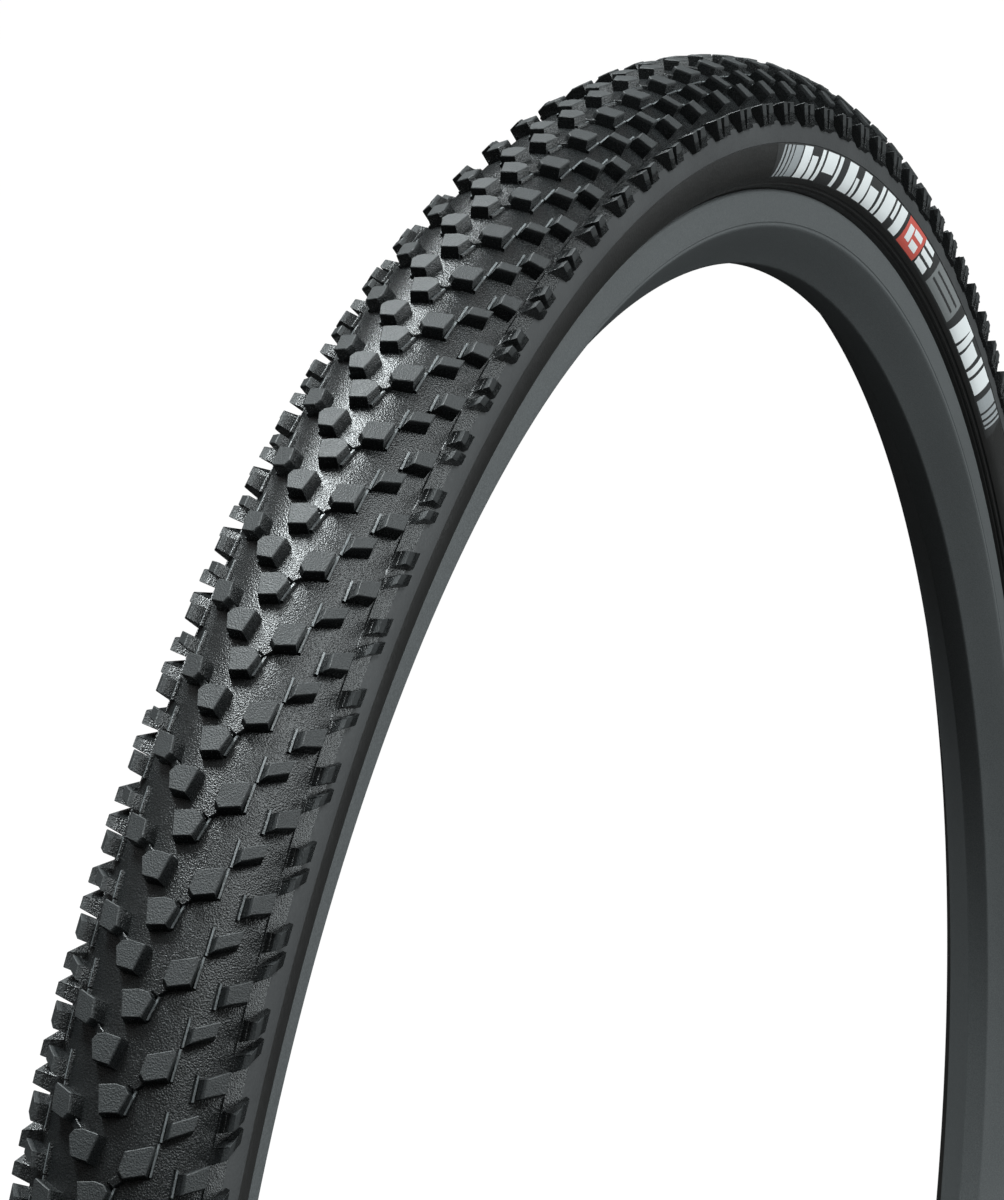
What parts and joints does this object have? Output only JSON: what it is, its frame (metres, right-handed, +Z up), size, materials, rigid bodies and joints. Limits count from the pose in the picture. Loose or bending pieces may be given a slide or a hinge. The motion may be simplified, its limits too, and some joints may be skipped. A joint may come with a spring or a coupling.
{
  "type": "bicycle tire",
  "caption": "Knobbly gravel bicycle tyre seated and inflated on its hollow rim, with a tubeless valve whose lock ring, pin, pin nut and cap move",
  "frame": {"origin": "centre of the wheel, midway between the rim's two side faces", "axes": "+Y is the axle line, +Z is up and -X is forward; the valve points up from the wheel's lowest point"},
  "size_m": [0.7026, 0.0426, 0.7026],
  "materials": {
    "tread_rubber": "matt moulded",
    "sidewall_rubber": "smooth moulded",
    "belt_cloth": "woven",
    "nylon_cloth": "rubbered weave",
    "bead_cord": "bundled fibre in resin",
    "label_ink": "printed transfer",
    "rim_finish": "fine bead-blasted anodising",
    "tape_film": "smooth film",
    "valve_metal": "nickel plated",
    "black_metal": "anodised",
    "seal_rubber": "matt",
    "cap_plastic": "satin"
  },
  "bodies": {
    "wheel": {"tread": "tread_rubber", "sidewall_left": "sidewall_rubber", "sidewall_right": "sidewall_rubber", "puncture_belt": "belt_cloth", "casing_ply": "nylon_cloth", "bead_core_left": "bead_cord", "bead_core_right": "bead_cord", "chafer_left": "nylon_cloth", "chafer_right": "nylon_cloth", "label_left": "label_ink", "label_right": "label_ink", "rim": "rim_finish", "rim_tape": "tape_film", "valve_stem": "valve_metal", "valve_base_seal": "seal_rubber", "valve_core": "valve_metal"},
    "ring_seat": {"lock_ring_seal": "seal_rubber"},
    "lock_ring": {"valve_lock_ring": "black_metal"},
    "pin": {"valve_pin": "valve_metal", "valve_core_seal": "seal_rubber"},
    "pin_nut": {"valve_pin_nut": "valve_metal"},
    "cap": {"valve_cap": "cap_plastic"}
  },
  "joints": [
    {"name": "lock_ring_travel", "type": "slide", "parent": "wheel", "child": "ring_seat", "axis": [0, 0, 1], "range_m": [0, 0.009]},
    {"name": "lock_ring_turn", "type": "hinge", "parent": "ring_seat", "child": "lock_ring", "pos_m": [0, 0, -0.2951], "axis": [0, 0, 1], "range_deg": [0, 4050]},
    {"name": "pin_travel", "type": "slide", "parent": "wheel", "child": "pin", "axis": [0, 0, -1], "range_m": [0, 0.0012], "stiffness_N_per_m": 300, "springref_m": -0.0005},
    {"name": "pin_nut_turn", "type": "hinge", "parent": "pin", "child": "pin_nut", "pos_m": [0, 0, -0.2668], "axis": [0, 0, 1], "range_deg": [0, 1080]},
    {"name": "cap_lift", "type": "slide", "parent": "wheel", "child": "cap", "axis": [0, 0, 1], "range_m": [0, 0.022]}
  ],
  "couplings": [
    {"joint": "lock_ring_travel", "follows": "lock_ring_turn", "m_per_rad": 0.00012732}
  ]
}
